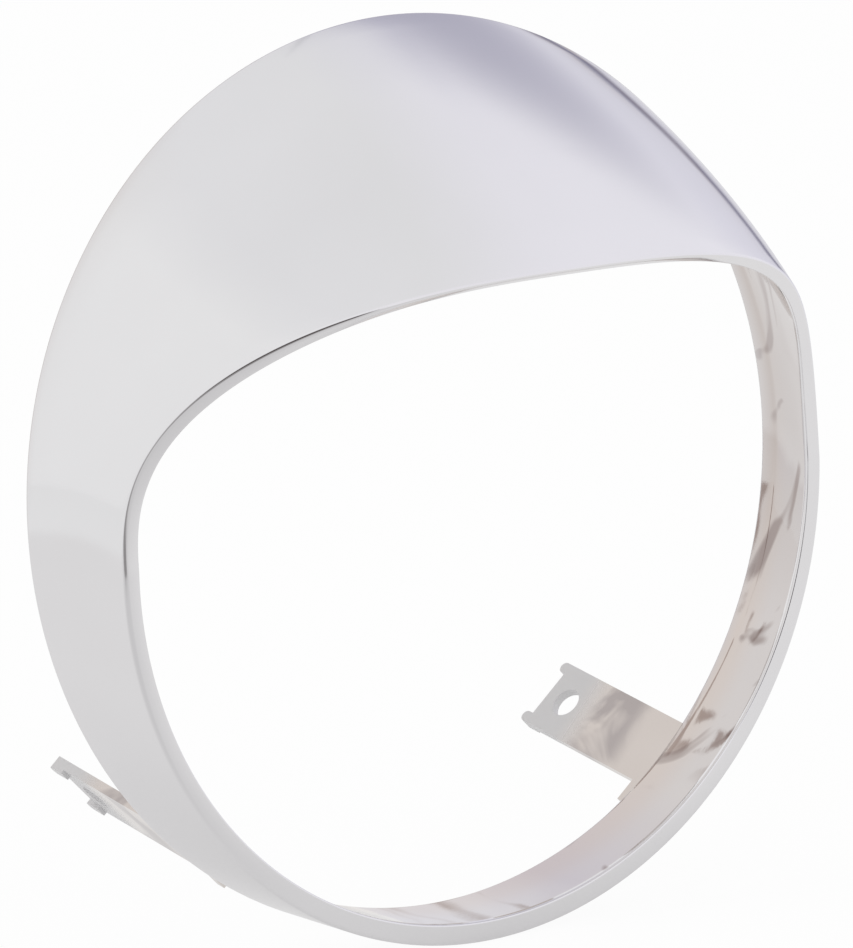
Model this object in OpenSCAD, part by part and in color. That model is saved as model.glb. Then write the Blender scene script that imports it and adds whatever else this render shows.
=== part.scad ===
// Headlight rim for a motorbike or scooter: a ring-shaped shell that frames the lamp,
// with a brow that hoods the upper part of the opening and two fixing tabs behind.
// The front faces -Y, up is +Z, and the origin is the centre of the rear edge.

/* [Lip] */
// Outside width of the lip, from side to side
lip_d = 166; // [156:1:182]
// How much further the lip reaches down than to its sides
mouth_low = 2; // [0:0.1:4]
// Width of the lip's flat front face at the bottom
lip_w = 4.2; // [3:0.1:5]
// Width of the lip's face at the sides
lip_side_w = 3.3; // [2.4:0.1:4.6]
// Rounding of the lip's outer front edge
lip_round = 0.8; // [0.3:0.1:1.2]
// Depth of the straight land just inside the lip's face
land_h = 1; // [0.5:0.1:2]

/* [Shell] */
// Depth of the shell, from the rear edge to the middle of the lower lip
shell_depth = 22.9; // [18:0.1:30]
// How much further out the shell is at its rear edge than at the lip
flare = 6.8; // [4:0.2:10]
// Wall thickness at the rear edge
wall = 3.7; // [2:0.1:4.4]
// Depth of the straight band inside the rear edge, at the sides where it is deepest
band_h = 5; // [1.5:0.1:6]
// Drop of the mouth's centre below the rear edge's centre, as an angle
mouth_drop = 16; // [0:0.5:20]
// Forward lean of the lower lip's plane, against an upright rear edge
mouth_lean = 3.4; // [0:0.1:6]

/* [Brow] */
// Angle above the lip's centre at which the brow starts, each side
shoulder_angle = 0; // [-4:0.5:10]
// Length of the brow's rim above its shoulders, along its own lean
brow_rise = 61.5; // [50:0.5:72]
// Forward lean of the brow's rim
brow_lean = 35; // [10:0.5:38]
// How late the brow swings forward as it rises: 1 is at once, higher is nearer its top
brow_sweep = 2.6; // [1:0.1:3]
// Squareness of the brow's rim at its sides: 2 is an ellipse, higher is squarer
brow_square = 2.9; // [2:0.1:3.4]
// Flatness of the brow's rim on top: 2 is an ellipse, higher is flatter
brow_flat = 2.5; // [2:0.1:3.6]
// How far the brow bows out between the rear edge and its rim
brow_bow = 1.8; // [0:0.1:4]
// Width of the lip's face at the top of the brow
brow_lip_w = 2.6; // [1.6:0.1:3.4]
// Tilt of the lip's face at the top of the brow
brow_lip_tilt = 61; // [20:1:65]

/* [Tabs] */
// Width of a fixing tab
tab_w = 15.2; // [12:0.2:20]
// Reach of a fixing tab behind the rear edge
tab_len = 37.8; // [26:0.1:50]
// Thickness of a fixing tab
tab_t = 2; // [1.6:0.1:2.6]
// Angle at which the tabs rise behind the shell
tab_rise = 12; // [0:0.5:18]
// Angle below the horizontal that a tab's flat faces
tab_face = 45; // [38:1:50]
// Angle below the horizontal of a tab's middle
tab_middle = 49; // [46:0.1:56]
// Diameter of the fixing hole in a tab
hole_d = 6.2; // [4.5:0.1:7]
// Distance from the tab's end to the middle of its hole
hole_inset = 6; // [5:0.2:9]
// Length of the two prongs past the end of a tab
prong_len = 2.2; // [1.4:0.1:4]
// Width of a prong
prong_w = 2.4; // [2:0.1:3]
// Thickness of a prong
prong_t = 2.8; // [2.7:0.1:4]
// Width of the foot beside a tab's root
foot_w = 5; // [1:0.5:8]
// Height of that foot above the rear edge
foot_h = 1.2; // [0.6:0.1:2]

/* [Hidden] */
chrome = [0.84, 0.84, 0.86];
lip_r = lip_d / 2;
low_r = lip_r + mouth_low;
rear_r = lip_r + flare;
mouth_z = -shell_depth * tan(mouth_drop);
// Directions at the lower lip's plane: up along it, and straight back from it
mouth_up = [0, -sin(mouth_lean), cos(mouth_lean)];
mouth_back = [0, cos(mouth_lean), sin(mouth_lean)];
mouth_middle = [0, -shell_depth, mouth_z];
shoulder = mouth_middle + mouth_up * low_r * sin(shoulder_angle);
// A tab's inner face lies at the wall's inner radius, and its middle sits off the face's own foot
tab_seat = rear_r - wall;
tab_foot = [tab_seat * cos(tab_face), 0, -tab_seat * sin(tab_face)];
tab_shift = tab_seat * tan(tab_middle - tab_face);
// How far a tab's root sits in the wall
tab_root = 1.2;
// Least depth of the rear band, and how closely the lip's tilt keeps to the top of the brow
band_least = 0.3;
tilt_hold = 3.5;
// Facets round a hole and round a prong's tip
hole_facets = 48;
tip_facets = 32;
// Stations round the ring: the lower arc, then the brow, with one on each shoulder
low_steps = 72;
brow_steps = 56;
steps = low_steps + brow_steps;
// Spans along the outer wall and along the inner wall
outer_spans = 7;
inner_spans = 5;
eps = 0.01;

function unit(v) = v / norm(v);
function mix(a, b, t) = a * (1 - t) + b * t;
function wrap(i) = (i + steps) % steps;

// Angle round the ring at station i, from the left shoulder down, round and over the top
function angle(i) = i < low_steps
    ? -180 - shoulder_angle + i * (180 + 2 * shoulder_angle) / low_steps
    : shoulder_angle + (i - low_steps) * (180 - 2 * shoulder_angle) / brow_steps;
// Angle along the brow's rim at station i: 0 and 180 at the shoulders, 90 at the top
function brow_angle(i) = max(0, (i - low_steps) * 180 / brow_steps);
// How much of the brow there is at station i, from 0 at a shoulder to 1 on top
function brow_share(i) = sin(brow_angle(i));

// Front outer edge of the lip: a deep bow low down, a leaning squared arch above the shoulders
function lip_bow(i) =
    mouth_middle + [lip_r * cos(angle(i)), 0, 0] + mouth_up * low_r * sin(angle(i));
function brow_arch(i) =
    let (c = cos(brow_angle(i)), s = brow_share(i),
         rise = pow(max(s, 0), 2 / brow_flat))
    shoulder + [lip_r * cos(shoulder_angle) * sign(c) * pow(abs(c), 2 / brow_square),
                -brow_rise * sin(brow_lean) * pow(rise, brow_sweep),
                brow_rise * cos(brow_lean) * rise];
mouth = [for (i = [0:steps - 1]) i < low_steps ? lip_bow(i) : brow_arch(i)];

// A point at radius r round the rear edge, moved forward by f
function rear_point(i, r, f) = [r * cos(angle(i)), -f, r * sin(angle(i))];
rear = [for (i = [0:steps - 1]) rear_point(i, rear_r, 0)];

// Direction in which the brow bows out at each station
middle = [for (i = [0:steps - 1]) (mouth[i] + rear[i]) / 2];
bow = [for (i = [0:steps - 1])
    unit(cross(middle[wrap(i + 1)] - middle[wrap(i - 1)], mouth[i] - rear[i]))
        * brow_bow * brow_share(i)];
function bowed(a, b, i, t) = mix(a, b, t) + bow[i] * 4 * t * (1 - t);

// Inwards from the mouth's edge at each station, in the plane of the lip
inward = [for (i = [0:steps - 1])
    unit(cross(mouth[wrap(i + 1)] - mouth[wrap(i - 1)], mouth_back))];
function face_tilt(i) = brow_lip_tilt * pow(brow_share(i), tilt_hold);
// Across the lip's face: inwards low down, and tilted back under the brow
function face_dir(i) = inward[i] * cos(face_tilt(i)) + mouth_back * sin(face_tilt(i));
// Backwards from the lip's face, square to it
function land_dir(i) = mouth_back * cos(face_tilt(i)) - inward[i] * sin(face_tilt(i));

// Width of the lip's face: widest at the bottom, narrowest at the top of the brow
function lip_width(i) = i < low_steps
    ? mix(lip_side_w, lip_w, pow(max(0, -sin(angle(i))), 2))
    : mix(lip_side_w, brow_lip_w, brow_share(i));
// Depth of the rear band: a crescent on each side that fades away at the top and bottom
function band_depth(i) = max(band_least, band_h * pow(cos(angle(i)), 2));

// The wall's section at station i: out along the outside, round the lip, back inside
function section(i) =
    let (edge = mouth[i], across = face_dir(i), back = land_dir(i),
         round_t = 1 - lip_round / norm(mouth[i] - rear[i]),
         rounded = edge + across * lip_round,
         inner_edge = edge + across * lip_width(i),
         land_end = inner_edge + back * land_h,
         crease = rear_point(i, rear_r - wall, band_depth(i)),
         shoulder_pt = bowed(rear[i], edge, i, round_t))
    concat(
        [for (j = [0:outer_spans]) bowed(rear[i], edge, i, round_t * j / outer_spans)],
        [mix(mix(shoulder_pt, edge, 0.5), mix(edge, rounded, 0.5), 0.5), rounded, inner_edge],
        [for (j = [0:inner_spans]) bowed(land_end, crease, i, j / inner_spans)],
        [rear_point(i, rear_r - wall, 0)]);

module shell() {
    sections = [for (i = [0:steps - 1]) section(i)];
    n = len(sections[0]);
    points = [for (s = sections) each s];
    faces = [for (i = [0:steps - 1], j = [0:n - 1])
        let (a = i * n + j, b = i * n + (j + 1) % n,
             c = wrap(i + 1) * n + (j + 1) % n, d = wrap(i + 1) * n + j)
        each [[a, b, c], [a, c, d]]];
    polyhedron(points, faces);
}

// Outline of a tab, along +Y from its root, with a prong at each end corner and
// a short foot beside it that stands just proud of the rear edge
module tab_outline() {
    translate([-tab_w / 2, -tab_root]) square([tab_w, tab_root + tab_len]);
    translate([tab_w / 2 - eps, -tab_root]) square([foot_w + eps, tab_root + foot_h]);
}

// One prong: a stub with a rounded tip, thicker than the tab and flush with its inside
module prong() {
    linear_extrude(prong_t) {
        translate([-prong_w / 2, -prong_w]) square([prong_w, prong_w + prong_len - prong_w / 2]);
        translate([0, prong_len - prong_w / 2]) circle(d = prong_w, $fn = tip_facets);
    }
}

// The right tab lies along the rear edge's inside, and runs back at its own rise
module tab() {
    translate(tab_foot) rotate([tab_rise, 0, 0]) rotate([0, 90 + tab_face, 0])
    translate([tab_shift, 0, 0]) {
        difference() {
            linear_extrude(tab_t) tab_outline();
            translate([0, tab_len - hole_inset, -eps])
                cylinder(h = tab_t + 2 * eps, d = hole_d, $fn = hole_facets);
        }
        for (side = [-1, 1])
            translate([side * (tab_w - prong_w) / 2, tab_len, 0]) prong();
    }
}

module rim() {
    color(chrome) {
        shell();
        tab();
        mirror([1, 0, 0]) tab();
    }
}

rim();
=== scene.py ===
"""Looks of a chromed headlight rim: a smooth shell with a brow, and two fixing tabs behind."""
import math

import bpy
from mathutils import Matrix, Vector


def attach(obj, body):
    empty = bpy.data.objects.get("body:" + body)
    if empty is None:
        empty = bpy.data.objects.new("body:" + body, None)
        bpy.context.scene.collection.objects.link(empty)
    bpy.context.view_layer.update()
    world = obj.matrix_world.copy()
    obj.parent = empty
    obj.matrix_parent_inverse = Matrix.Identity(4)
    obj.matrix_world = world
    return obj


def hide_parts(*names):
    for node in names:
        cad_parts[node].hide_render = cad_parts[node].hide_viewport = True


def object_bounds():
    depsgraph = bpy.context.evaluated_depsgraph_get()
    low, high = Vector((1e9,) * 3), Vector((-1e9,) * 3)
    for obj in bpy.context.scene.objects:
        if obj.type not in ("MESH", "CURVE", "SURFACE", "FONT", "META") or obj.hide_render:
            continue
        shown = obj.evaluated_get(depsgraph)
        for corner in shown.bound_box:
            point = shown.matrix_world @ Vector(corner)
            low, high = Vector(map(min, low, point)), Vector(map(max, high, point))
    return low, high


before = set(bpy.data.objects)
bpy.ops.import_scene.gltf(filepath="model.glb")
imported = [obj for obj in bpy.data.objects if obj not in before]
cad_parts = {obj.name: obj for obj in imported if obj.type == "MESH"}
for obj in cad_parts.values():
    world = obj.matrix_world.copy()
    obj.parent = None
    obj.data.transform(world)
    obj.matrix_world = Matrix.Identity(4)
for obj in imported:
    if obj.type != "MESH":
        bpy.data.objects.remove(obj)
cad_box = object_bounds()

MM = 0.001

# Shell sizes in millimetres, with the rounding that polishing leaves on each edge
SHELL_SIZES = {
    "Lip radius": 83.0,
    "Mouth low": 2.0,
    "Lip width at the bottom": 4.2,
    "Lip width at the sides": 3.3,
    "Lip width on the brow": 2.6,
    "Land": 1.0,
    "Shell depth": 22.9,
    "Flare": 6.8,
    "Wall": 3.7,
    "Band": 5.0,
    "Least band": 0.3,
    "Brow rise": 61.5,
    "Brow bow": 1.8,
    "Rear edge round": 0.5,
    "Lip round": 0.9,
    "Inner edge round": 0.4,
    "Land end round": 0.35,
    "Crease round": 0.9,
}
# Its angles in radians, and the powers that shape the brow
SHELL_RULES = {
    "Mouth drop": math.radians(16),
    "Mouth lean": math.radians(3.4),
    "Brow lean": math.radians(35),
    "Brow lip tilt": math.radians(61),
    "Brow sweep": 2.6,
    "Brow square": 2.9,
    "Brow flat": 2.5,
    "Tilt hold": 3.5,
}

# How finely the shell is laid out: round the lower half and round the brow
LOW_STATIONS = 320
BROW_STATIONS = 288
# Across the wall: the roundings, the outer and inner walls, the lip's face and the short flats
FILLET_STEPS = 5
OUTER_SPANS = 18
INNER_SPANS = 12
FACE_SPANS = 2
FLAT_SPANS = 1
FILLETS, FLATS = 6, 3
# Number of the strip at which the section turns onto the inner wall
INNER_STRIP = 8
# Shares of a bowed wall's length at which its direction at either end is read, and how far
# along that direction a rounding may look
NEAR_END, FAR_END = 0.03, 0.97
LOOK_ALONG = 12.0
# Most of a side that a rounding may take up
FILLET_SHARE = 0.45
SAME_POINT = 1e-6

# Tab sizes in millimetres, then how it stands: its rise, its face and its middle
TAB = {
    "Width": 15.2,
    "Reach": 37.8,
    "Thickness": 2.0,
    "Root": 1.2,
    "Hole diameter": 6.2,
    "Hole inset": 6.0,
    "Prong width": 2.4,
    "Prong length": 2.2,
    "Prong thickness": 2.8,
    "Foot width": 5.0,
    "Foot height": 1.2,
}
TAB_RISE = math.radians(12)
TAB_FACE = math.radians(45)
TAB_MIDDLE = math.radians(49)
# Rounding of its edges, and how finely the tabs' round parts are laid out
TAB_EDGE_ROUND = 0.35
TAB_EDGE_SEGMENTS = 3
TAB_EDGE_ANGLE = math.radians(40)
TIP_FACETS = 32
HOLE_FACETS = 64

# Camera, as the photograph is taken
CAMERA_AZIMUTH = math.radians(34.887)
CAMERA_HEIGHT = math.radians(8.628)
CAMERA_ROLL = math.radians(-3.388)
CAMERA_DISTANCE = 1.509
CAMERA_ASIDE = 0.00252
CAMERA_DOWN = 0.00056
CAMERA_CLIP = (0.01, 200.0)
LENS = 292.8

FLOOR_RADIUS = 30.0
FLOOR_FACETS = 64
# Where the paper under the rim ends, as the chrome mirrors it, and the tent's own floor starts
PAPER_REACH = 0.62
PAPER_FADE = 0.15
# How much of the floor shows as plain white to the lens, and as the tent's tone in the chrome
WHITE_TO_LENS = 0.94
TONE_IN_CHROME = 0.7

# A large soft lamp above and in front
LAMP_PLACE = (-0.5, -1.0, 1.7)
LAMP_SIZE = 1.4
LAMP_WATTS = 2.5


# Node trees

def add_piece(name, mesh):
    piece = bpy.data.objects.new(name, mesh)
    bpy.context.scene.collection.objects.link(piece)
    return piece


def add_node(tree, kind, *links, **values):
    """Adds a node, sets its values, and fills the inputs named in (input, source) pairs. A source
    that comes from another node is linked, and a plain value is set."""
    made = tree.nodes.new(kind)
    for name, value in values.items():
        setattr(made, name, value)
    for entry, source in links:
        source = getattr(source, "socket", source)
        if isinstance(source, bpy.types.NodeSocket):
            tree.links.new(source, made.inputs[entry])
        else:
            made.inputs[entry].default_value = source
    return made


class Number:
    """A number at each point of a node tree, with ordinary arithmetic."""

    def __init__(self, tree, socket):
        self.tree, self.socket = tree, socket

    def math(self, operation, *rest):
        made = add_node(self.tree, "ShaderNodeMath", *enumerate((self, *rest)), operation=operation)
        return Number(self.tree, made.outputs[0])

    def __add__(self, other):
        return self.math("ADD", other)

    def __sub__(self, other):
        return self.math("SUBTRACT", other)

    def __rsub__(self, other):
        return self.math("MULTIPLY", -1.0).math("ADD", other)

    def __mul__(self, other):
        return self.math("MULTIPLY", other)

    def __truediv__(self, other):
        return self.math("DIVIDE", other)

    def __pow__(self, other):
        return self.math("POWER", other)

    def __rtruediv__(self, other):
        return self ** -1.0 * other

    __rmul__ = __mul__


class Arrow:
    """A place or a direction at each point of a node tree."""

    def __init__(self, tree, socket):
        self.tree, self.socket = tree, socket

    def vector(self, operation, *links, output=0):
        made = add_node(self.tree, "ShaderNodeVectorMath", (0, self), *links, operation=operation)
        return made.outputs[output]

    def __add__(self, other):
        return Arrow(self.tree, self.vector("ADD", (1, other)))

    def __sub__(self, other):
        return Arrow(self.tree, self.vector("SUBTRACT", (1, other)))

    def __mul__(self, number):
        return Arrow(self.tree, self.vector("SCALE", ("Scale", number)))

    def cross(self, other):
        return Arrow(self.tree, self.vector("CROSS_PRODUCT", (1, other)))

    def unit(self):
        return Arrow(self.tree, self.vector("NORMALIZE"))

    def length(self):
        return Number(self.tree, self.vector("LENGTH", output="Value"))


def arrow(tree, x, y, z):
    return Arrow(tree, add_node(tree, "ShaderNodeCombineXYZ", *enumerate((x, y, z))).outputs[0])


def mix(a, b, t):
    """The number or place at share t of the way from a to b."""
    return a * (1 - t) + b * t


def new_tree(name, numbers, arrows=()):
    """An empty tree with a named input for each size, one for the finish, and one output."""
    tree = bpy.data.node_groups.new(name, "GeometryNodeTree")
    for kind, names in (("Float", numbers), ("Vector", arrows), ("Material", ["Finish"])):
        for each in names:
            tree.interface.new_socket(each, in_out="INPUT", socket_type="NodeSocket" + kind)
    tree.interface.new_socket("Geometry", in_out="OUTPUT", socket_type="NodeSocketGeometry")
    return tree, tree.nodes.new("NodeGroupInput").outputs


def end_tree(tree, geometry, finish):
    """Makes the geometry real, gives it its finish and sends it out of the tree."""
    real = add_node(tree, "GeometryNodeRealizeInstances", ("Geometry", geometry))
    done = add_node(tree, "GeometryNodeSetMaterial", ("Geometry", real.outputs[0]), ("Material", finish))
    tree.links.new(done.outputs[0], tree.nodes.new("NodeGroupOutput").inputs[0])


def made_by(tree, name, values, edge_round=0.0):
    """Runs a tree with its inputs set, rounds its edges, and keeps the plain mesh."""
    pattern = add_piece(name + "_pattern", bpy.data.meshes.new(name + "_pattern"))
    nodes = pattern.modifiers.new(name, "NODES")
    nodes.node_group = tree
    for item in tree.interface.items_tree:
        if item.in_out == "INPUT":
            nodes[item.identifier] = values[item.name]
    if edge_round:
        bevel = pattern.modifiers.new("edges", "BEVEL")
        bevel.width = edge_round
        bevel.segments = TAB_EDGE_SEGMENTS
        bevel.limit_method = "ANGLE"
        bevel.angle_limit = TAB_EDGE_ANGLE
        bevel.harden_normals = True
    bpy.context.view_layer.update()
    depsgraph = bpy.context.evaluated_depsgraph_get()
    mesh = bpy.data.meshes.new_from_object(pattern.evaluated_get(depsgraph))
    bpy.data.objects.remove(pattern)
    mesh.name = name
    mesh.materials.clear()
    mesh.materials.append(values["Finish"])
    mesh.polygons.foreach_set("material_index", [0] * len(mesh.polygons))
    return add_piece(name, mesh)


# Shell

def ring_angle(station):
    """Angle at a station, from the left shoulder down, round and over the top."""
    low = station.math("MINIMUM", float(LOW_STATIONS)) * (math.pi / LOW_STATIONS)
    brow = (station - LOW_STATIONS).math("MAXIMUM", 0.0) * (math.pi / BROW_STATIONS)
    return low + brow - math.pi


def lip_edge(tree, size, angle):
    """The lip's outer front edge: a deep bow low down, a leaning squared arch above."""
    c, s = angle.math("COSINE"), angle.math("SINE")
    drop, lean, brow_lean = (size[n] for n in ("Mouth drop", "Mouth lean", "Brow lean"))
    depth, radius, brow_rise = size["Shell depth"], size["Lip radius"], size["Brow rise"]
    squareness = mix(1.0, 2.0 / size["Brow square"], s.math("GREATER_THAN", 0.0))
    across = radius * c.math("SIGN") * c.math("ABSOLUTE") ** squareness
    dip = (radius + size["Mouth low"]) * s.math("MINIMUM", 0.0)
    rise = s.math("MAXIMUM", 0.0) ** (2.0 / size["Brow flat"])
    forward = brow_rise * brow_lean.math("SINE") * rise ** size["Brow sweep"]
    return arrow(
        tree,
        across,
        0.0 - depth - dip * lean.math("SINE") - forward,
        dip * lean.math("COSINE") + brow_rise * brow_lean.math("COSINE") * rise
        - depth * drop.math("TANGENT"),
    )


def rear_point(tree, angle, radius, forward):
    return arrow(tree, radius * angle.math("COSINE"), 0.0 - forward, radius * angle.math("SINE"))


def fillet(before, corner, after, radius):
    """The start, the end and a path t -> point of the rounding at a corner between two sides."""
    to_before, to_after = before - corner, after - corner
    shorter = to_before.length().math("MINIMUM", to_after.length())
    reach = (shorter * FILLET_SHARE).math("MINIMUM", radius)
    start, end = corner + to_before.unit() * reach, corner + to_after.unit() * reach
    return start, end, lambda t: mix(mix(start, corner, t), mix(corner, end, t), t)


def wall_section(tree, size, station):
    """The wall's section at each station as (spans, t -> point) strips, from the rear edge out
    over the outside, round the lip and back along the inside."""
    stations = LOW_STATIONS + BROW_STATIONS
    angle = ring_angle(station)
    beside = [(station + step).math("FLOORED_MODULO", stations) for step in (1, stations - 1)]
    around = [ring_angle(each) for each in beside]
    s = angle.math("SINE")
    low_share, brow_share = s.math("MINIMUM", 0.0) ** 2.0, s.math("MAXIMUM", 0.0)
    lean = size["Mouth lean"]
    back = arrow(tree, 0.0, lean.math("COSINE"), lean.math("SINE"))
    rear_radius = size["Lip radius"] + size["Flare"]
    inner_radius = rear_radius - size["Wall"]

    edge = lip_edge(tree, size, angle)
    rear = rear_point(tree, angle, rear_radius, 0.0)
    rear_inside = rear_point(tree, angle, inner_radius, 0.0)
    band = (size["Band"] * angle.math("COSINE") ** 2.0).math("MAXIMUM", size["Least band"])
    crease = rear_point(tree, angle, inner_radius, band)

    lips = [lip_edge(tree, size, a) for a in around]
    rears = [rear_point(tree, a, rear_radius, 0.0) for a in around]
    middles = [(lip + foot) * 0.5 for lip, foot in zip(lips, rears)]
    bow = (middles[0] - middles[1]).cross(edge - rear).unit() * (size["Brow bow"] * brow_share)
    inward = (lips[0] - lips[1]).cross(back).unit()
    tilt = size["Brow lip tilt"] * brow_share ** size["Tilt hold"]
    face = inward * tilt.math("COSINE") + back * tilt.math("SINE")
    land = back * tilt.math("COSINE") - inward * tilt.math("SINE")
    side, bottom, top = (
        size["Lip width " + where] for where in ("at the sides", "at the bottom", "on the brow")
    )
    width = side + (bottom - side) * low_share + (top - side) * brow_share
    inner_edge = edge + face * width
    land_end = inner_edge + land * size["Land"]

    def bowed(a, b, t):
        return mix(a, b, t) + bow * (t * 4.0 * (1.0 - t))

    def along_wall(a, b, corner):
        """A place along the bowed wall's own direction at its end on a corner."""
        near = bowed(a, b, NEAR_END if corner is a else FAR_END)
        return corner + (near - corner) * LOOK_ALONG

    a_start, a_end, heel = fillet(crease, rear_inside, rear, size["Rear edge round"])
    b_start, b_end, rim = fillet(
        rear_inside, rear, along_wall(rear, edge, rear), size["Rear edge round"]
    )
    c_start, c_end, lip = fillet(along_wall(rear, edge, edge), edge, inner_edge, size["Lip round"])
    d_start, d_end, turn = fillet(edge, inner_edge, land_end, size["Inner edge round"])
    e_start, e_end, step = fillet(
        inner_edge, land_end, along_wall(land_end, crease, land_end), size["Land end round"]
    )
    f_start, f_end, bend = fillet(
        along_wall(land_end, crease, crease), crease, rear_inside, size["Crease round"]
    )
    return [
        (FILLET_STEPS, heel), (FLAT_SPANS, lambda t: mix(a_end, b_start, t)),
        (FILLET_STEPS, rim), (OUTER_SPANS, lambda t: bowed(b_end, c_start, t)),
        (FILLET_STEPS, lip), (FACE_SPANS, lambda t: mix(c_end, d_start, t)),
        (FILLET_STEPS, turn), (FLAT_SPANS, lambda t: mix(d_end, e_start, t)),
        (FILLET_STEPS, step), (INNER_SPANS, lambda t: bowed(e_end, f_start, t)),
        (FILLET_STEPS, bend), (FLAT_SPANS, lambda t: mix(f_end, a_start, t)),
    ]


def shell_tree():
    """The whole shell from its sizes: a grid of stations by rows, laid along the wall's section."""
    tree, given = new_tree("headlight rim shell", [*SHELL_SIZES, *SHELL_RULES])
    size = {name: Number(tree, given[name]) for name in (*SHELL_SIZES, *SHELL_RULES)}
    index = Number(tree, tree.nodes.new("GeometryNodeInputIndex").outputs[0])
    spans_across = (
        FILLETS * FILLET_STEPS + FLATS * FLAT_SPANS + FACE_SPANS + OUTER_SPANS + INNER_SPANS
    )
    rows = spans_across + 1
    station = (index / rows).math("FLOOR")
    row = index - station * rows

    place, first, inside_from = None, 0, 0
    for number, (spans, path) in enumerate(wall_section(tree, size, station)):
        strip = path((row - first) / spans)
        if number == INNER_STRIP:
            inside_from = first
        if place is None:
            place = strip
        else:
            later = row.math("GREATER_THAN", first - 0.5)
            place = place + (strip - place) * later
        first += spans
    inner_side = ((row - inside_from) / FILLET_STEPS).math("MAXIMUM", 0.0).math("MINIMUM", 1.0)

    grid = add_node(
        tree, "GeometryNodeMeshGrid",
        ("Vertices X", LOW_STATIONS + BROW_STATIONS + 1), ("Vertices Y", rows),
    )
    laid = add_node(
        tree, "GeometryNodeSetPosition", ("Geometry", grid.outputs[0]), ("Position", place)
    )
    marked = add_node(
        tree, "GeometryNodeStoreNamedAttribute",
        ("Geometry", laid.outputs[0]), ("Name", "inner_side"), ("Value", inner_side),
        data_type="FLOAT", domain="POINT",
    )
    closed = add_node(
        tree, "GeometryNodeMergeByDistance", ("Geometry", marked.outputs[0]), ("Distance", SAME_POINT)
    )
    smooth = add_node(tree, "GeometryNodeSetShadeSmooth", ("Geometry", closed.outputs[0]))
    end_tree(tree, smooth.outputs[0], given["Finish"])
    return tree


def build_shell(finish):
    values = {name: size * MM for name, size in SHELL_SIZES.items()}
    return made_by(shell_tree(), "shell", {**values, **SHELL_RULES, "Finish": finish})


# Tabs

def moved(tree, geometry, place=(0, 0, 0), turn=(0, 0, 0), scale=(1, 1, 1)):
    made = add_node(
        tree, "GeometryNodeTransform",
        ("Geometry", geometry), ("Translation", place), ("Rotation", turn), ("Scale", scale),
    )
    return made.outputs[0]


def block(tree, size, place):
    cube = add_node(tree, "GeometryNodeMeshCube", ("Size", size))
    return moved(tree, cube.outputs[0], place)


def pin(tree, radius, depth, place, vertices):
    made = add_node(
        tree, "GeometryNodeMeshCylinder",
        ("Radius", radius), ("Depth", depth), ("Vertices", vertices),
    )
    return moved(tree, made.outputs[0], place)


def joined(tree, *parts, cut_from=None):
    """The parts as one solid, or all of them cut from another."""
    made = add_node(
        tree, "GeometryNodeMeshBoolean", operation="DIFFERENCE" if cut_from else "UNION", solver="EXACT"
    )
    if cut_from:
        tree.links.new(cut_from, made.inputs[0])
    for part in parts:
        tree.links.new(part, made.inputs[1])
    return made.outputs[0]


def tab_tree():
    """A flat tab with a hole, a foot beside its root and two prongs at its end, and its mirror image."""
    tree, given = new_tree("fixing tabs", [*TAB, "Shift"], ["Face turn", "Rise turn", "Seat"])
    size = {name: Number(tree, given[name]) for name in TAB}
    width, reach, thick, root = (size[n] for n in ("Width", "Reach", "Thickness", "Root"))
    foot_w, foot_h = size["Foot width"], size["Foot height"]
    prong_w, prong_l, prong_t = (size["Prong " + n] for n in ("width", "length", "thickness"))

    plate = block(
        tree, arrow(tree, width, reach + root, thick), arrow(tree, 0.0, (reach - root) * 0.5, thick * 0.5)
    )
    foot = block(
        tree,
        arrow(tree, foot_w * 2.0, foot_h + root, thick),
        arrow(tree, width * 0.5, (foot_h - root) * 0.5, thick * 0.5),
    )
    stub = block(
        tree,
        arrow(tree, prong_w, prong_l + prong_w * 0.5, prong_t),
        arrow(tree, 0.0, prong_l * 0.5 - prong_w * 0.75, prong_t * 0.5),
    )
    tip = pin(
        tree, prong_w * 0.5, prong_t,
        arrow(tree, 0.0, prong_l - prong_w * 0.5, prong_t * 0.5), TIP_FACETS,
    )
    ends = add_node(
        tree, "GeometryNodeMeshLine", ("Count", 2),
        ("Start Location", arrow(tree, (prong_w - width) * 0.5, reach, 0.0)),
        ("Offset", arrow(tree, width - prong_w, 0.0, 0.0)),
        mode="OFFSET",
    )
    prongs = add_node(
        tree, "GeometryNodeInstanceOnPoints",
        ("Points", ends.outputs[0]), ("Instance", joined(tree, stub, tip)),
    )
    prongs = add_node(tree, "GeometryNodeRealizeInstances", ("Geometry", prongs.outputs[0]))
    hole = pin(
        tree, size["Hole diameter"] * 0.5, thick * 3.0,
        arrow(tree, 0.0, reach - size["Hole inset"], thick * 0.5), HOLE_FACETS,
    )
    tab = joined(tree, hole, cut_from=joined(tree, plate, foot, prongs.outputs[0]))

    tab = moved(tree, tab, arrow(tree, given["Shift"], 0.0, 0.0))
    tab = moved(tree, tab, turn=given["Face turn"])
    tab = moved(tree, tab, given["Seat"], given["Rise turn"])
    twin = add_node(tree, "GeometryNodeFlipFaces", ("Mesh", moved(tree, tab, scale=(-1, 1, 1))))
    pair = add_node(tree, "GeometryNodeJoinGeometry", ("Geometry", tab))
    tree.links.new(twin.outputs[0], pair.inputs[0])
    smooth = add_node(tree, "GeometryNodeSetShadeSmooth", ("Geometry", pair.outputs[0]))
    end_tree(tree, smooth.outputs[0], given["Finish"])
    return tree


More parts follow.
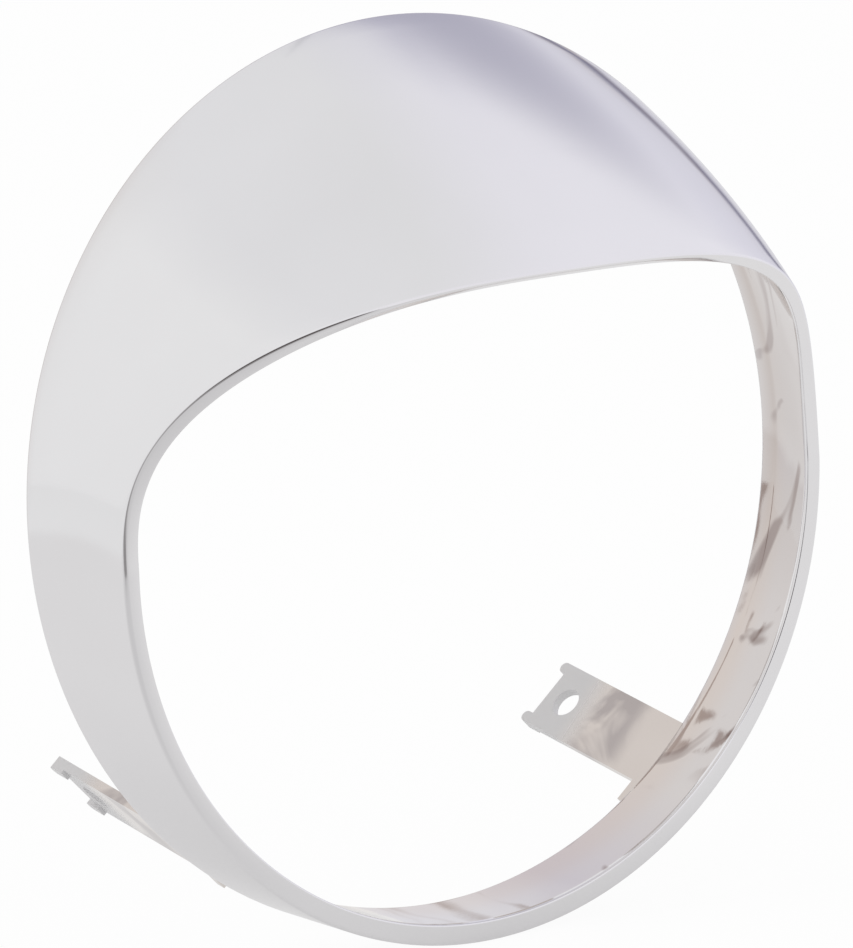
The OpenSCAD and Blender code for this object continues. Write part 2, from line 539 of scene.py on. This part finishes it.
def build_tabs(finish):
    seat = SHELL_SIZES["Lip radius"] + SHELL_SIZES["Flare"] - SHELL_SIZES["Wall"]
    values = {name: size * MM for name, size in TAB.items()}
    values["Shift"] = seat * math.tan(TAB_MIDDLE - TAB_FACE) * MM
    values["Face turn"] = (0, math.pi / 2 + TAB_FACE, 0)
    values["Rise turn"] = (TAB_RISE, 0, 0)
    values["Seat"] = (seat * math.cos(TAB_FACE) * MM, 0, -seat * math.sin(TAB_FACE) * MM)
    return made_by(tab_tree(), "tabs", {**values, "Finish": finish}, TAB_EDGE_ROUND * MM)


# Finishes

# Patterns in the finishes, each as a noise's scale, detail, roughness and twist
CLOUDS = (18.0, 3.0)
STAINS = (34.0, 2.0, 0.5, 2.2)
SMEARS = (60.0, 5.0, 0.65)
STREAKS = (55.0, 3.0, 0.55, 1.2)
WAVES = (34.0, 1.5, 0.4, 0.6)
HAZE = (900.0, 4.0, 0.6)
# The part of each pattern's range over which it comes in
OUTER_CLOUD_CUT = (0.35, 0.65)
INNER_CLOUD_CUT = (0.3, 0.7)
SMEAR_CUT = (0.3, 0.7)
STAIN_CUT = (0.60, 0.68)
STREAK_CUT = (0.44, 0.58)
# Heights of the waves and of the haze, in metres
OUTER_WAVES, INNER_WAVES, TAB_WAVES = 0.00008, 0.0011, 0.0006
SHELL_HAZE, TAB_HAZE = 0.000004, 0.000006
# Roughness of the shell, clear and smeared, and of a tab, at its root and at its end
OUTER_ROUGHNESS = (0.05, 0.10)
INNER_ROUGHNESS = (0.03, 0.07)
TAB_ROUGHNESS = (0.07, 0.38)
# How metallic a tab is, at its root and at its end
TAB_METAL = (1.0, 0.25)
# Tones of the plating, the cloudy ones from dark to light, and of the painted shade under the brow
OUTER_TONES = ((0.805, 0.80, 0.81, 1), (0.83, 0.825, 0.835, 1))
INNER_TONES = ((0.84, 0.825, 0.82, 1), (0.88, 0.87, 0.87, 1))
WARM_TONE = (0.86, 0.805, 0.765, 1)
# Painted shade on the inner wall high up, under the brow
BROW_SHADE_TONE = (0.60, 0.55, 0.53, 1)
STAIN_TONE = (0.46, 0.40, 0.385, 1)
TAB_TONE = (0.86, 0.815, 0.775, 1)
STREAK_TONE = (0.56, 0.525, 0.52, 1)
TAB_END_TONE = (0.70, 0.695, 0.70, 1)
# Where the inner wall warms towards the rear edge, and where painted shade darkens it as it rises under
# the brow, in metres
WARM_DEPTH = (-0.014, -0.003)
BROW_SHADE_HEIGHT = (-0.040, 0.0)
BROW_SHADE_SHARE = 0.75
# Where the streaks along a tab start and end, and where its satin end starts, in metres
STREAKS_START = (0.008, 0.014)
STREAKS_END = (0.022, 0.027)
TAB_END_START = (0.021, 0.031)
STREAK_SHARE, STREAK_LEAST = 0.9, 0.08


def new_material(name):
    material = bpy.data.materials.new(name)
    material.use_nodes = True
    return material, material.node_tree, material.node_tree.nodes["Principled BSDF"]


def noise(tree, coords, scale, detail, roughness=0.5, twist=0.0):
    made = add_node(
        tree, "ShaderNodeTexNoise",
        ("Vector", coords), ("Scale", scale), ("Detail", detail), ("Roughness", roughness),
        ("Distortion", twist),
    )
    return made.outputs["Fac"]


def remap(tree, value, low, high, to_low=0.0, to_high=1.0, soft=False):
    made = add_node(
        tree, "ShaderNodeMapRange",
        ("Value", value), ("From Min", low), ("From Max", high), ("To Min", to_low), ("To Max", to_high),
        interpolation_type="SMOOTHSTEP" if soft else "LINEAR",
    )
    return made.outputs[0]


def blend(tree, share, first, second):
    made = add_node(tree, "ShaderNodeMix", (0, share), (6, first), (7, second), data_type="RGBA")
    return made.outputs[2]


def chrome_base(name):
    """Plating on a moulded plastic, with the coordinates that its patterns follow."""
    material, tree, shader = new_material(name)
    coords = tree.nodes.new("ShaderNodeTexCoord").outputs["Object"]
    shader.inputs["Metallic"].default_value = 1.0
    return material, tree, shader, coords


def waved(tree, shader, coords, wave_height, haze_height):
    """Long waves of the moulding under a fine haze, both in the surface's own slope."""
    waves = Number(tree, noise(tree, coords, *WAVES)) * wave_height
    slow = add_node(tree, "ShaderNodeBump", ("Strength", 1.0), ("Distance", 1.0), ("Height", waves))
    haze = noise(tree, coords, *HAZE)
    fine = add_node(
        tree, "ShaderNodeBump",
        ("Strength", 1.0), ("Distance", haze_height), ("Height", haze), ("Normal", slow.outputs[0]),
    )
    tree.links.new(fine.outputs[0], shader.inputs["Normal"])


def shell_chrome():
    """Even and cool outside; wavier, warmer and a little stained on the inner wall, which painted shade
    darkens towards the top, under the brow.
    """
    material, tree, shader, coords = chrome_base("chrome of the shell")
    inner_side = add_node(tree, "ShaderNodeAttribute", attribute_name="inner_side").outputs["Fac"]
    cloud = noise(tree, coords, *CLOUDS)
    stain = remap(tree, noise(tree, coords, *STAINS), *STAIN_CUT, soft=True)
    outer = blend(tree, remap(tree, cloud, *OUTER_CLOUD_CUT), *OUTER_TONES)
    clean = blend(tree, remap(tree, cloud, *INNER_CLOUD_CUT), *INNER_TONES)
    _, depth, height = add_node(tree, "ShaderNodeSeparateXYZ", (0, coords)).outputs
    warm = blend(tree, remap(tree, depth, *WARM_DEPTH, soft=True), clean, WARM_TONE)
    # Painted shade: the inner wall gets darker as it rises under the brow
    brow_shaded = blend(tree, remap(tree, height, *BROW_SHADE_HEIGHT, 0.0, BROW_SHADE_SHARE), warm, BROW_SHADE_TONE)
    inner = blend(tree, stain, brow_shaded, STAIN_TONE)
    tree.links.new(blend(tree, inner_side, outer, inner), shader.inputs["Base Color"])
    smear = noise(tree, coords, *SMEARS)
    rough = add_node(
        tree, "ShaderNodeMix", (0, inner_side),
        (2, remap(tree, smear, *SMEAR_CUT, *OUTER_ROUGHNESS)),
        (3, remap(tree, smear, *SMEAR_CUT, *INNER_ROUGHNESS)),
    ).outputs[0]
    tree.links.new(rough, shader.inputs["Roughness"])
    wave_height = remap(tree, inner_side, 0.0, 1.0, OUTER_WAVES, INNER_WAVES)
    waved(tree, shader, coords, wave_height, SHELL_HAZE)
    return material


def tab_chrome():
    """Mottled where the plating thins along the tab, and pale satin at its end."""
    material, tree, shader, coords = chrome_base("chrome of the tabs")
    reach = add_node(tree, "ShaderNodeSeparateXYZ", (0, coords)).outputs["Y"]
    streaks = remap(tree, noise(tree, coords, *STREAKS), *STREAK_CUT)
    band = Number(tree, remap(tree, reach, *STREAKS_START, soft=True))
    band = band * remap(tree, reach, *STREAKS_END, 1.0, 0.0, soft=True)
    mottle = band * streaks * STREAK_SHARE + STREAK_LEAST
    plated = blend(tree, mottle, TAB_TONE, STREAK_TONE)
    end = remap(tree, reach, *TAB_END_START, soft=True)
    tree.links.new(blend(tree, end, plated, TAB_END_TONE), shader.inputs["Base Color"])
    tree.links.new(remap(tree, end, 0.0, 1.0, *TAB_METAL), shader.inputs["Metallic"])
    tree.links.new(remap(tree, end, 0.0, 1.0, *TAB_ROUGHNESS), shader.inputs["Roughness"])
    waved(tree, shader, coords, TAB_WAVES, TAB_HAZE)
    return material


# Studio

# What the chrome mirrors, going round from behind by the left, the front and the right
TENT = (
    (0.00, (0.74, 0.71, 0.70)),
    (0.08, (0.74, 0.71, 0.70)),
    (0.13, (0.84, 0.82, 0.81)),
    (0.18, (0.93, 0.93, 0.93)),
    (0.26, (0.93, 0.93, 0.93)),
    (0.52, (0.93, 0.92, 0.95)),
    (0.79, (0.92, 0.91, 0.97)),
    (0.825, (0.80, 0.79, 0.875)),
    (0.856, (0.72, 0.71, 0.79)),
    (0.8615, (0.20, 0.19, 0.27)),
    (0.8645, (0.20, 0.19, 0.27)),
    (0.869, (0.66, 0.65, 0.72)),
    (0.90, (0.78, 0.77, 0.80)),
    (0.93, (0.66, 0.63, 0.68)),
    (1.00, (0.74, 0.71, 0.70)),
)
TENT_TOP = (0.865, 0.865, 0.875, 1)
# The dark slit in the tent's front for the lens, and a lavender shade high on its right side,
# each as a direction from the rim and a tone
SLIT_TOWARDS = (-0.565, -0.81, 0.05)
SLIT_TONE = (0.10, 0.085, 0.085, 1)
SHADE_TOWARDS = (0.586, 0.458, 0.669)
SHADE_TONE = (0.51, 0.50, 0.60, 1)
# How nearly a direction lines up with these, from where they begin to where they are full
SLIT_SPREAD = (0.84, 0.92)
SHADE_SPREAD = (0.925, 1.0)
# How high a direction points where the tent's top starts and is full
TOP_SPREAD = (0.80, 0.95)
# Shapes of the room behind: their pattern, the part of it that shows, how far back they start
# and their tone
ROOM_SHAPES = (4.5, 2.0, 0.5, 1.0)
ROOM_CUT = (0.57, 0.63)
ROOM_SPREAD = (0.55, 0.85)
ROOM_BEHIND = (0.40, 0.335, 0.315, 1)
# The tent's plain light on all that isn't a mirror, and its white behind the rim
PLAIN_LIGHT = (0.90, 0.90, 0.90, 1)
WHITE = (1, 1, 1, 1)
# The paper under the rim: its own pattern and tones, then the tones that the chrome mirrors of
# it: painted shadow of the rim close by, plain paper further out, and the lens's painted shadow
PAPER_CLOUDS = (8.0, 4.0)
PAPER_ROUGHNESS = 0.9
PAPER_TONES = ((0.88, 0.88, 0.88, 1), (0.91, 0.91, 0.91, 1))
CLOSE_SHADOW_TONE = (0.66, 0.655, 0.66, 1)
OPEN_TONE = (0.85, 0.84, 0.84, 1)
LENS_SHADOW = (0.45, 0.44, 0.45, 1)
# Distances over which the paper comes out of the rim's painted shadow and over which the slit comes in,
# and how nearly a place lines up with the slit where the lens's painted shadow starts and is full
OPEN_REACH = (0.02, 0.20)
SLIT_REACH = (0.30, 0.50)
SHADOW_SPREAD = (0.40, 0.90)
SHADOW_SHARE = 0.55


def lined_up(tree, direction, towards):
    """How well a direction lines up with another, from 1 for the same to -1 for the opposite."""
    return Arrow(tree, direction).unit().vector("DOT_PRODUCT", (1, towards), output="Value")


def tent_colour(tree, direction):
    """The tent's tone all round the rim, in a direction from it, with the slit for the lens."""
    x, y, _ = add_node(tree, "ShaderNodeSeparateXYZ", (0, direction)).outputs
    round_angle = Number(tree, x).math("ARCTAN2", Number(tree, y) * -1.0)
    ramp = add_node(tree, "ShaderNodeValToRGB", (0, remap(tree, round_angle, -math.pi, math.pi)))
    stops = ramp.color_ramp.elements
    while len(stops) < len(TENT):
        stops.new(0.5)
    for stop, (place, colour) in zip(stops, TENT):
        stop.position, stop.color = place, (*colour, 1)
    slit = remap(tree, lined_up(tree, direction, SLIT_TOWARDS), *SLIT_SPREAD, soft=True)
    return blend(tree, slit, ramp.outputs[0], SLIT_TONE)


def mirrored_paper(tree, coords):
    """What the chrome mirrors of the floor: paper near the rim, with painted shadow of the rim close by
    and of the lens in front, and the tent's tone past its edge.
    """
    away = Arrow(tree, coords).length()
    # Painted shadow of the rim: the mirrored paper is darker close to the rim
    near = blend(tree, remap(tree, away, *OPEN_REACH, soft=True), CLOSE_SHADOW_TONE, OPEN_TONE)
    front = lined_up(tree, coords, SLIT_TOWARDS)
    shadow = remap(tree, front, *SHADOW_SPREAD, 0.0, SHADOW_SHARE, soft=True)
    near = blend(tree, shadow, near, LENS_SHADOW)
    slit = Number(tree, remap(tree, front, *SLIT_SPREAD, soft=True))
    slit = slit * remap(tree, away, *SLIT_REACH, soft=True)
    near = blend(tree, slit, near, SLIT_TONE)
    beyond = remap(tree, away, PAPER_REACH, PAPER_REACH + PAPER_FADE, soft=True)
    return blend(tree, beyond, near, tent_colour(tree, coords))


def build_floor():
    """White to the lens and toned in the chrome, with a share of plain paper for the shadow."""
    low = cad_box[0][2]
    mesh = bpy.data.meshes.new("floor")
    angles = [2 * math.pi * facet / FLOOR_FACETS for facet in range(FLOOR_FACETS)]
    mesh.from_pydata(
        [(FLOOR_RADIUS * math.cos(a), FLOOR_RADIUS * math.sin(a), low) for a in angles],
        [], [list(range(len(angles)))],
    )
    floor = add_piece("floor", mesh)
    material, tree, shader = new_material("white floor")
    coords = tree.nodes.new("ShaderNodeTexCoord").outputs["Object"]
    paper = blend(tree, noise(tree, coords, *PAPER_CLOUDS), *PAPER_TONES)
    tree.links.new(paper, shader.inputs["Base Color"])
    shader.inputs["Roughness"].default_value = PAPER_ROUGHNESS
    path = tree.nodes.new("ShaderNodeLightPath").outputs
    shown = blend(tree, path["Is Camera Ray"], mirrored_paper(tree, coords), WHITE)
    glow = add_node(tree, "ShaderNodeEmission", ("Color", shown), ("Strength", 1.0))
    camera, mirror, glass = (
        Number(tree, path[n]) for n in ("Is Camera Ray", "Is Glossy Ray", "Is Transmission Ray")
    )
    seen = camera * WHITE_TO_LENS + (mirror + glass) * TONE_IN_CHROME
    both = add_node(
        tree, "ShaderNodeMixShader", (0, seen), (1, shader.outputs[0]), (2, glow.outputs[0])
    )
    tree.links.new(both.outputs[0], tree.nodes["Material Output"].inputs["Surface"])
    mesh.materials.append(material)


def light_world():
    """A white tent. Its back is open to a warm, darker room, which the chrome mirrors."""
    world = bpy.data.worlds.new("white tent")
    bpy.context.scene.world = world
    world.use_nodes = True
    tree = world.node_tree
    direction = tree.nodes.new("ShaderNodeTexCoord").outputs["Generated"]
    _, y, z = add_node(tree, "ShaderNodeSeparateXYZ", (0, direction)).outputs
    shapes = Number(tree, remap(tree, noise(tree, direction, *ROOM_SHAPES), *ROOM_CUT))
    behind = remap(tree, y, *ROOM_SPREAD)
    walls = blend(tree, shapes * behind, tent_colour(tree, direction), ROOM_BEHIND)
    shade = remap(tree, lined_up(tree, direction, SHADE_TOWARDS), *SHADE_SPREAD, soft=True)
    walls = blend(tree, shade, walls, SHADE_TONE)
    mirrored = blend(tree, remap(tree, z, *TOP_SPREAD), walls, TENT_TOP)

    path = tree.nodes.new("ShaderNodeLightPath").outputs
    in_mirror = Number(tree, path["Is Glossy Ray"]).math("MAXIMUM", path["Is Transmission Ray"])
    plain = blend(tree, path["Is Camera Ray"], PLAIN_LIGHT, WHITE)
    sky = tree.nodes["Background"]
    tree.links.new(blend(tree, in_mirror, plain, mirrored), sky.inputs["Color"])
    sky.inputs["Strength"].default_value = 1.0


def add_lamp():
    """A large soft lamp above and in front, which lights the floor and the satin tab ends."""
    data = bpy.data.lights.new("key", "AREA")
    data.shape = "RECTANGLE"
    data.size = data.size_y = LAMP_SIZE
    data.energy = LAMP_WATTS
    lamp = bpy.data.objects.new("key", data)
    lamp.location = LAMP_PLACE
    lamp.rotation_euler = (-Vector(LAMP_PLACE)).to_track_quat("-Z", "Y").to_euler()
    lamp.visible_glossy = False
    bpy.context.scene.collection.objects.link(lamp)


def add_camera():
    """Stands where the photograph is taken from, a little above the rim and to its left."""
    a, e, r = CAMERA_AZIMUTH, CAMERA_HEIGHT, CAMERA_ROLL
    back = Vector((-math.sin(a) * math.cos(e), -math.cos(a) * math.cos(e), math.sin(e)))
    right = (-back).cross(Vector((0, 0, 1))).normalized()
    up = right.cross(-back)
    right, up = math.cos(r) * right + math.sin(r) * up, -math.sin(r) * right + math.cos(r) * up
    data = bpy.data.cameras.new("camera")
    data.lens = LENS
    data.clip_start, data.clip_end = CAMERA_CLIP
    camera = bpy.data.objects.new("camera", data)
    place = back * CAMERA_DISTANCE + right * CAMERA_ASIDE - up * CAMERA_DOWN
    turn = Matrix((right, up, back)).transposed().to_4x4()
    camera.matrix_world = Matrix.Translation(place) @ turn
    bpy.context.scene.collection.objects.link(camera)
    bpy.context.scene.camera = camera


def build_scene():
    shell = build_shell(shell_chrome())
    tabs = build_tabs(tab_chrome())
    for piece in (shell, tabs):
        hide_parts("rim")
        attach(piece, "root")
    build_floor()
    light_world()
    add_lamp()
    add_camera()
    bpy.context.scene.view_settings.view_transform = "Standard"


build_scene()
